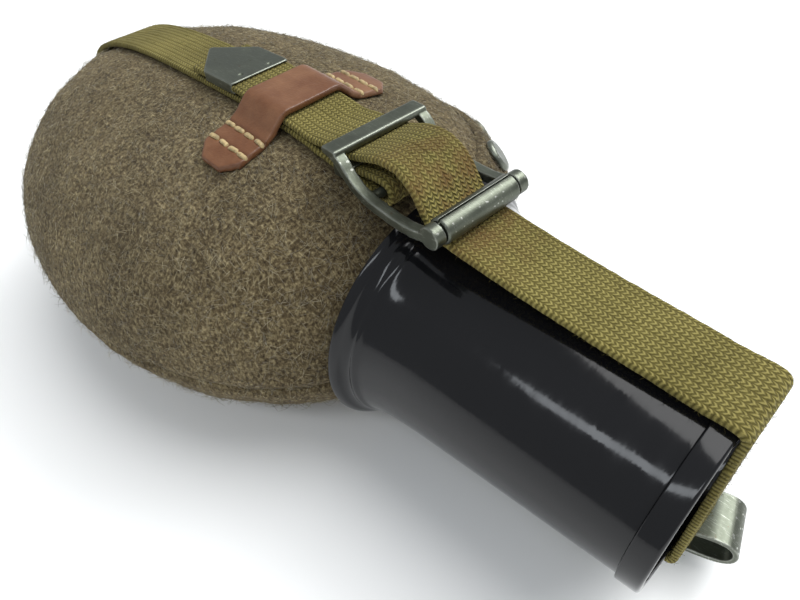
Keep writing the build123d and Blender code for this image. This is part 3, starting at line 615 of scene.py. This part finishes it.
# ---------------------------------------------------------------- webbing
def strap_route():
    route = [(65.6, 88.4), (68, 88.4), (72, 88.4), (77, 88.7)]
    route += [(BAR_X + 2.9 * cos(radians(a)), BAR_Z + 2.9 * sin(radians(a))) for a in range(90, -91, -30)]
    route += [(77.5, 84.3), (73.5, 85.7), (69, 86.25), (64.5, 86.3)]
    for x in (58, 50, 40, 28, 15, 0, -15, -30, -45, -58, -69, -78, -85, -90, -93.4, -95.6, -96.7):
        route.append(hug_point(x, 1, HUG))
    route.append((-98.25, 41))
    route += [hug_point(x, -1, HUG) for x in (-96.7, -95.2, -92.5, -88, -81, -72, -62, -52, -44)]
    route += [(-37.5, 1.12), (-33, 1), (-20, 1), (0, 1), (20, 1), (34, 1), (46, 1.15), (60, 2.1), (75, 3.5)]
    route += [(90, 5.4), (110, 8.8), (130, 12.2), (150, 15.6), (162, 17.6)]
    high = 31.2 - (CUP_END - 90) * 0.0875
    low, top, end = AXIS_Z - high - 1, AXIS_Z + high + 1, CUP_END + HUG
    route.append((169, low - HUG - 0.15))
    route += [(CUP_END - 0.7 + 2.05 * cos(radians(a)), low + 0.7 + 2.05 * sin(radians(a))) for a in (-90, -65, -40, -15)]
    route += [(end, low + 4), (end, low + 14), (end, AXIS_Z), (end, top - 14), (end, top - 4)]
    route += [(CUP_END - 0.7 + 2.05 * cos(radians(a)), top - 0.7 + 2.05 * sin(radians(a))) for a in (15, 40, 65, 90)]
    route += [(167, top + HUG + 0.35), (155, 73.1), (143, 74.6), (132, 76.3), (120, 78.6), (110, 81), (104, 82.4)]
    route += [(100.6, 83.6), (98.2, 85.6), (96.4, 88), (94.4, 90.6), (91.6, 92.8), (87.6, 94.3), (82.5, 94.7)]
    route += [(78.4, 94), (75.2, 92.9), (72, 92), (69, 91.6), (65, 91.4), (61, 91.1)]
    for x, extra in ((54, 0.15), (46, 0.1), (36, 0.1), (27, 0.25), (20, 0.7), (12, 0.75), (4, 0.75), (-1, 0.75)):
        route.append(hug_point(x, 1, SECOND + extra))
    return route


def tail_route():
    route = [hug_point(x, -1, HUG + 2.5) for x in (-74, -80, -86, -91, -94.3, -96)]
    lean = radians(70)
    return route + [(-111 + cos(lean) * d, 65.5 - sin(lean) * d) for d in (26, 19, 12, 6, 3)]


def webbing(route, shift, gap):
    """A woven band wrapped round a flat oval section and laid along a route."""
    web = settings("strap")
    width, pitch = web.width / MM, web.rib / MM
    spots, total = smooth_route(route, gap)
    flat, edge = 40, 4
    around = 2 * (flat + edge)
    bm = bmesh.new()
    bmesh.ops.create_grid(bm, x_segments=len(spots) - 1, y_segments=around, size=0.5)
    layer = bm.loops.layers.uv.new("Weave")
    stations = {}
    half = STRAP_THICK / 2

    def section(k):
        """Place across the band and height off its middle for step k round it."""
        if k <= flat:
            across, up = width * (k / flat - 0.5), 1
        elif k < flat + edge:
            turn = pi / 2 - pi * (k - flat) / edge
            return width / 2 + 0.35 * cos(turn) * half - 0.1, sin(turn) * half * 0.8
        elif k <= 2 * flat + edge:
            across, up = width * (0.5 - (k - flat - edge) / flat), -1
        else:
            turn = -pi / 2 - pi * (k - 2 * flat - edge) / edge
            return -width / 2 + 0.35 * cos(turn) * half + 0.1, sin(turn) * half * 0.8
        rib = abs(((across / pitch + 0.5) % 1.0) - 0.5) * 2
        rounding = 0.2 * max(0.0, abs(across) - width / 2 + 1.2) ** 2
        return across, up * (half - 0.20 * (1 - min(rib * 3.2, 1.0)) - rounding * 0.5)

    for vert in bm.verts:
        i = round((vert.co.x + 0.5) * (len(spots) - 1))
        k = round((vert.co.y + 0.5) * around)
        stations[vert.index] = (i, k)
    for face in bm.faces:
        for loop in face.loops:
            i, k = stations[loop.vert.index]
            loop[layer].uv = (total * i / (len(spots) - 1), section(k % around)[0])
    for vert in bm.verts:
        i, k = stations[vert.index]
        a, b = spots[max(i - 1, 0)], spots[min(i + 1, len(spots) - 1)]
        way = (b - a).normalized()
        across, up = section(k % around)
        fray = noise.noise(Vector((i * 0.55, (1 if across > 0 else -1) * 7.0, 0.3)))
        if abs(across) > width / 2 - 0.6:
            across += fray * 0.16 * (1 if across > 0 else -1)
        spot = spots[i]
        up += 0.07 * noise.noise(Vector((i * 0.7, across * 0.8, 1.0)))
        vert.co = (spot.x - way.y * up, across + shift(spot.x, spot.y), spot.y + way.x * up)
    bmesh.ops.remove_doubles(bm, verts=bm.verts, dist=1e-4)
    ends = [e for e in bm.edges if e.is_boundary]
    bmesh.ops.holes_fill(bm, edges=ends, sides=0)
    bmesh.ops.recalc_face_normals(bm, faces=bm.faces)
    return bm


def strap_shift(x, z):
    """Sideways drift of the strap where it hangs between its holders."""
    if z > 60 and x > 100:
        return -1.6 * exp(-(((x - 100) / 22) ** 2)) + 3.6 * min(max((x - 100) / 68, 0), 1) ** 1.3
    if x >= 167:
        return 3.6 * min(max((z - 16) / 50, 0), 1)
    return -1.6 * exp(-(((x - 100) / 9) ** 2)) if z > 60 and x > 88 else 0.0


class CANTEEN_OT_straps(bpy.types.Operator):
    """Makes the woven strap and the short tail at the foot"""

    bl_idname = "canteen.straps"
    bl_label = "Webbing"

    def execute(self, context):
        band = place_piece(webbing(strap_route(), strap_shift, 0.9), "webbing_strap", "canteen", finish("Webbing"), ("strap",))
        tail = webbing(tail_route(), lambda x, z: -1.5, 0.8)
        place_piece(tail, "webbing_tail", "canteen", finish("Webbing"), ("rear_tail",))
        samples = surface_samples(band, 5200, 5, lambda p: abs(p.normal.y) > 0.35 or (p.index % 4 == 0))
        fibre_bundle("webbing_fibres", samples, 0.00005, 0.0011, 1.6, "canteen", finish("Webbing"))
        return {"FINISHED"}


# ---------------------------------------------------------------- leather keepers
def twisted_stitch(length, radius):
    """One stitch of two-strand thread, dipping at its ends, lying along X."""
    bm = bmesh.new()
    ring = bmesh.ops.create_circle(bm, cap_ends=False, segments=12, radius=1.0)["verts"]
    steps = 14
    base = [(v, atan2(v.co.y, v.co.x)) for v in ring]
    edges = bm.edges[:]

    def lay(pairs, i):
        t = i / steps
        tuck = sqrt(max(1 - abs(2 * t - 1) ** 6, 0.05))
        for vert, angle in pairs:
            r = radius * tuck * (0.82 + 0.2 * abs(cos(angle + t * pi * 2.2)))
            vert.co = ((t - 0.5) * length, r * cos(angle), r * sin(angle) * 0.9 - 0.75 * radius * abs(2 * t - 1) ** 4)

    lay(base, 0)
    current = base
    for i in range(1, steps + 1):
        made = bmesh.ops.extrude_edge_only(bm, edges=edges)["geom"]
        fresh = [g for g in made if isinstance(g, bmesh.types.BMVert)]
        edges = [g for g in made if isinstance(g, bmesh.types.BMEdge) and all(v in fresh for v in g.verts)]
        spots = {tuple(round(c, 5) for c in v.co): a for v, a in current}
        current = [(v, spots[tuple(round(c, 5) for c in v.co)]) for v in fresh]
        lay(current, i)
    bmesh.ops.holes_fill(bm, edges=[e for e in bm.edges if e.is_boundary], sides=0)
    bmesh.ops.recalc_face_normals(bm, faces=bm.faces)
    return bm


class CANTEEN_OT_keepers(bpy.types.Operator):
    """Makes the leather keepers and the thread that sews them to the felt"""

    bl_idname = "canteen.keepers"
    bl_label = "Keepers"

    def execute(self, context):
        stitch = twisted_stitch(4.1, 0.78)
        unit = bpy.data.meshes.new("stitch_unit")
        stitch.to_mesh(unit)
        stitch.free()
        base = [v.co.copy() for v in unit.vertices]
        for word, (middle, side) in KEEPERS.items():
            chance = random.Random(11 + side)
            node = "keeper_" + word
            leather = refined_copy(node, "leather_" + node, "canteen", finish("Leather"), 0.42, 4)
            tree = BVHTree.FromPolygons([v.co for v in leather.data.vertices], [p.vertices for p in leather.data.polygons])
            bm = bmesh.new()
            slope = (body_reach(middle + 8, side)[1] - body_reach(middle - 8, side)[1]) / 16 * side
            along = Vector((1, 0, slope)).normalized()
            for y in (18.4, 24.2, -18.4, -24.2):
                for k in range(4):
                    x = middle + (k - 1.5) * 4.3 + chance.uniform(-0.25, 0.25)
                    spot, normal, _, _ = tree.ray_cast(Vector((x * MM, y * MM, EQUATOR * MM + side * 0.06)), Vector((0, 0, -side)))
                    if spot is None:
                        spot = Vector((x, y, felt_height(x, y, side) + side * 2.4)) * MM
                        normal = Vector((0, y / abs(y) * 0.4, side))
                    up = (normal - along * normal.dot(along)).normalized()
                    across = up.cross(along)
                    twist = chance.uniform(-0.12, 0.12)
                    lead, wide = along * cos(twist) + across * sin(twist), across * cos(twist) - along * sin(twist)
                    for vert, start in zip(unit.vertices, base):
                        vert.co = spot + (lead * start.x + wide * start.y + up * (start.z + 0.35)) * MM
                    bm.from_mesh(unit)
            place_piece(bm, "thread_" + node, "canteen", finish("Thread"), (node + "_stitches",), scale=1.0)
        bpy.data.meshes.remove(unit)
        return {"FINISHED"}


# ---------------------------------------------------------------- cup
def cup_half(x):
    """Half width and half height of the cup at x, with the flare at its mouth."""
    flare = 4 * exp(-(x - CUP_MOUTH) / 5.5)
    return 35 - (x - 90) * 0.055 + flare, 31.2 - (x - 90) * 0.0875 + flare


def oval_skin(bm, profile, segments):
    """A closed wall round the cup's axis, drawn through (x, growth) stations of a closed profile."""
    rings = []
    start = bmesh.ops.create_circle(bm, cap_ends=False, segments=segments, radius=1.0)["verts"]
    pairs = [(v, atan2(v.co.y, v.co.x)) for v in start]
    edges = bm.edges[:]
    first = list(edges)
    for i, (x, grow) in enumerate(profile):
        if i:
            made = bmesh.ops.extrude_edge_only(bm, edges=edges)["geom"]
            fresh = [g for g in made if isinstance(g, bmesh.types.BMVert)]
            group = set(fresh)
            edges = [g for g in made if isinstance(g, bmesh.types.BMEdge) and g.verts[0] in group and g.verts[1] in group]
            wide, high = rings[-1]
            pairs = [(v, atan2((v.co.z - AXIS_Z) / high, v.co.y / wide)) for v in fresh]
        wide, high = cup_half(x)
        wide, high = wide + grow, high + grow
        for vert, angle in pairs:
            vert.co = (x, wide * cos(angle), AXIS_Z + high * sin(angle))
        rings.append((wide, high))
    bmesh.ops.bridge_loops(bm, edges=edges + first)
    bmesh.ops.recalc_face_normals(bm, faces=bm.faces)


def arc(x, grow, radius, start, stop, count=10):
    return [(x + radius * cos(radians(start + (stop - start) * i / count)), grow + radius * sin(radians(start + (stop - start) * i / count))) for i in range(count + 1)]


class CANTEEN_OT_cup(bpy.types.Operator):
    """Makes the drinking cup's wall with its rolled rim, and its seamed base"""

    bl_idname = "canteen.cup"
    bl_label = "Cup"

    def execute(self, context):
        cup = settings("cup")
        wall, bead = cup.wall / MM, cup.bead / MM
        end = CUP_END - 4
        inner = [(x, -wall) for x in (end, 166, 160, 150, 140, 130, 120, 112, 106, 102, 99, 97, 95.4, 94.2, 93.2, 92.2, 91.2)]
        rim = arc(CUP_MOUTH, -0.2, bead, -50, -330, 22)
        ridge = [(91.7, -0.05), (92.3, 0.0), (92.8, 0.08), (93.2, 0.34), (93.6, 0.52), (94.0, 0.52), (94.4, 0.36), (94.8, 0.1), (95.4, 0.0)]
        outer = [(x, 0) for x in (96.4, 97.6, 99, 101, 104, 108, 114, 122, 132, 142, 152, 160, 165, 168)] + [(end, 0)]
        bm = bmesh.new()
        oval_skin(bm, inner + rim + ridge + outer, cup.turn)
        place_piece(bm, "cup_wall", "canteen", finish("Black enamel"), ("cup",))
        ring = end - 1.5
        step = [(ring, 0.02), (ring, 0.7)] + arc(ring + 0.35, 0.65, 0.35, 180, 90, 5)[1:]
        edge = arc(CUP_END - 0.8, 0.2, 0.8, 90, 0, 8) + [(CUP_END, -0.6), (CUP_END - 0.1, -0.95), (CUP_END - 0.5, -1.15)]
        floor = [(end + 1.5, -1.2), (end + 1.25, -1.6), (end + 1.2, -2.2), (end + 1.2, -10), (end + 1.2, -20), (end + 1.2, -23.5)]
        back = [(end + 0.05, -23.5), (end + 0.05, -20), (end + 0.05, -10), (end + 0.05, -1.5), (end + 0.05, 0.02)]
        bm = bmesh.new()
        oval_skin(bm, step + edge + floor + back, cup.turn)
        holes = bmesh.new()
        bmesh.ops.create_circle(holes, cap_ends=True, cap_tris=False, segments=cup.turn, radius=1.0)
        wide, high = cup_half(end)
        wide, high = wide - 23.4, high - 23.4
        for vert in holes.verts:
            vert.co = (end + 0.6, wide * vert.co.x, AXIS_Z + high * vert.co.y)
        block = bmesh.ops.extrude_face_region(holes, geom=holes.faces[:])["geom"]
        bmesh.ops.translate(holes, vec=(0.59, 0, 0), verts=[g for g in block if isinstance(g, bmesh.types.BMVert)])
        for vert in holes.verts:
            vert.co.x -= 0.54 if vert.co.x < end + 0.7 else 0.0
        bmesh.ops.recalc_face_normals(holes, faces=holes.faces)
        disc = bpy.data.meshes.new("disc")
        holes.to_mesh(disc)
        holes.free()
        bm.from_mesh(disc)
        bpy.data.meshes.remove(disc)
        place_piece(bm, "cup_foot", "canteen", finish("Black enamel"), ("cup_base",))
        return {"FINISHED"}


# ---------------------------------------------------------------- metal pieces
METAL = (
    ("strap_tip", "steel_tip", "canteen", "Steel", "steel", 0.22, 2),
    ("rear_tip", "steel_tip_rear", "canteen", "Steel", "steel", 0.22, 2),
    ("strap_clamp", "steel_clamp", "canteen", "Steel", "steel", 0.2, 2),
    ("clamp_rivets", "clamp_rivet_pair", "canteen", "Steel", "steel", 0.2, 1),
    ("buckle_frame", "buckle_bars", "canteen", "Steel", "steel", 0.22, 3),
    ("buckle_roller", "roller_tube", "roller", "Steel", "steel", 0.14, 2),
    ("buckle_prong", "prong_bar", "prong", "Steel", "steel", 0.22, 2),
    ("snap_hook", "hook_strip", "hook", "Hook steel", "dark_steel", 0.2, 1),
    ("hook_rivet", "hook_pin", "canteen", "Hook steel", "dark_steel", 0.14, 2),
    ("hook_gate", "gate_leaf", "gate", "Hook steel", "dark_steel", 0.22, 2),
    ("gate_mount", "gate_ears", "hook", "Hook steel", "dark_steel", 0.22, 2),
    ("stud_caps", "stud_domes", "canteen", "Steel", "stud_metal", 0.25, 2),
)


class CANTEEN_OT_metal(bpy.types.Operator):
    """Makes the buckle, strap ends, studs and snap hook with softened edges"""

    bl_idname = "canteen.metal"
    bl_label = "Metal pieces"

    def execute(self, context):
        for node, name, body, material, slot, voxel, rounds in METAL:
            refined_copy(node, name, body, finish(material), voxel, rounds)
        return {"FINISHED"}


KEPT = {
    "bottle": "Aluminium",
    "neck_collar": "Aluminium",
    "neck_thread": "Aluminium",
    "screw_cap": "Black plastic",
    "cap_seal": "Seal rubber",
    "stud_posts": "Brass",
    "stud_sockets": "Brass",
}


class CANTEEN_OT_bottle(bpy.types.Operator):
    """Gives the bottle, its cap and the stud backs their finishes"""

    bl_idname = "canteen.bottle"
    bl_label = "Bottle and cap"

    def execute(self, context):
        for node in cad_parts:
            for start, material in KEPT.items():
                if node.startswith(start):
                    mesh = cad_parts[node].data
                    mesh.materials.clear()
                    mesh.materials.append(finish(material))
        return {"FINISHED"}


# ---------------------------------------------------------------- studio
def area_light(name, place, target, size, energy, tint=(1, 1, 1)):
    lamp = bpy.data.lights.new(name, "AREA")
    lamp.shape = "RECTANGLE"
    lamp.size, lamp.size_y = size
    lamp.energy = energy
    lamp.color = tint
    light = bpy.data.objects.new(name, lamp)
    light.location = place
    light.rotation_euler = (Vector(target) - Vector(place)).to_track_quat("-Z", "Y").to_euler()
    bpy.context.scene.collection.objects.link(light)
    return light


class CANTEEN_OT_studio(bpy.types.Operator):
    """Sets the pale floor, the soft lights and the camera"""

    bl_idname = "canteen.studio"
    bl_label = "Studio"

    def execute(self, context):
        studio = settings("studio")
        scene = context.scene
        bm = bmesh.new()
        bmesh.ops.create_grid(bm, x_segments=1, y_segments=1, size=6.0)
        bmesh.ops.translate(bm, vec=(0, 0, -0.0002), verts=bm.verts)
        mesh = bpy.data.meshes.new("floor")
        bm.to_mesh(mesh)
        bm.free()
        material, tree, shader = new_material("Floor")
        paper = noise_at(tree, object_coords(tree), 30, 3)
        tree.links.new(blend_colour(tree, paper, tuple(c * 0.99 for c in studio.floor), studio.floor), shader.inputs["Base Color"])
        shader.inputs["Roughness"].default_value = 0.9
        shader.inputs["Specular IOR Level"].default_value = 0.1
        mesh.materials.append(material)
        floor = bpy.data.objects.new("floor", mesh)
        scene.collection.objects.link(floor)
        world = bpy.data.worlds.new("Room")
        world.use_nodes = True
        world.node_tree.nodes["Background"].inputs[0].default_value = (0.92, 0.96, 1.0, 1)
        world.node_tree.nodes["Background"].inputs[1].default_value = studio.sky
        scene.world = world
        sun = bpy.data.lights.new("Overhead", "SUN")
        sun.energy = studio.key
        sun.angle = radians(50)
        sun_object = bpy.data.objects.new("Overhead", sun)
        sun_object.rotation_euler = Vector((-0.25, -0.45, -1)).to_track_quat("-Z", "Y").to_euler()
        scene.collection.objects.link(sun_object)
        area_light("Window", (0.25, 0.9, 1.0), (0.03, 0, 0.04), (0.7, 0.5), 9.0, (0.96, 0.98, 1.0))
        area_light("Strip", (0.35, -0.5, 0.9), (0.1, 0, 0.05), (0.9, 0.12), 2.2, (0.9, 0.95, 1.0))
        camera_data = bpy.data.cameras.new("Camera")
        camera_data.lens = studio.lens
        camera_data.sensor_width = 36
        camera_data.clip_start = 0.01
        camera = bpy.data.objects.new("Camera", camera_data)
        right, up, back = Vector((0.70622, 0.70504, -0.06446)), Vector((-0.47167, 0.53645, 0.69979)), Vector((0.52797, -0.46382, 0.71141))
        camera.matrix_world = Matrix.Translation((0.1776, -0.0915, 0.1751)) @ Matrix((right, up, back)).transposed().to_4x4()
        scene.collection.objects.link(camera)
        scene.camera = camera
        scene.view_settings.view_transform = "Standard"
        return {"FINISHED"}


class CANTEEN_PT_parts(bpy.types.Panel):
    """Lists the operators that build the canteen"""

    bl_idname = "CANTEEN_PT_parts"
    bl_label = "Canteen"
    bl_space_type = "VIEW_3D"
    bl_region_type = "UI"
    bl_category = "Canteen"

    def draw(self, context):
        for operator in OPERATORS:
            self.layout.operator(operator.bl_idname)
        for name, group in GROUPS.items():
            box = self.layout.box()
            for prop in group.__annotations__:
                box.prop(getattr(context.scene, "canteen_" + name), prop)


GROUPS = {
    "felt": CanteenFelt,
    "strap": CanteenStrap,
    "leather": CanteenLeather,
    "cup": CanteenCup,
    "steel": CanteenSteel,
    "studio": CanteenStudio,
}
OPERATORS = (
    CANTEEN_OT_studio,
    CANTEEN_OT_bottle,
    CANTEEN_OT_felt,
    CANTEEN_OT_straps,
    CANTEEN_OT_keepers,
    CANTEEN_OT_cup,
    CANTEEN_OT_metal,
)


def register():
    for name, group in GROUPS.items():
        bpy.utils.register_class(group)
        setattr(bpy.types.Scene, "canteen_" + name, PointerProperty(type=group))
    for operator in OPERATORS:
        bpy.utils.register_class(operator)
    bpy.utils.register_class(CANTEEN_PT_parts)


def unregister():
    bpy.utils.unregister_class(CANTEEN_PT_parts)
    for operator in reversed(OPERATORS):
        bpy.utils.unregister_class(operator)
    for name, group in GROUPS.items():
        delattr(bpy.types.Scene, "canteen_" + name)
        bpy.utils.unregister_class(group)


def main():
    register()
    bpy.ops.canteen.studio()
    bpy.ops.canteen.bottle()
    bpy.ops.canteen.felt()
    bpy.ops.canteen.straps()
    bpy.ops.canteen.keepers()
    bpy.ops.canteen.cup()
    bpy.ops.canteen.metal()


if __name__ == "__main__":
    main()
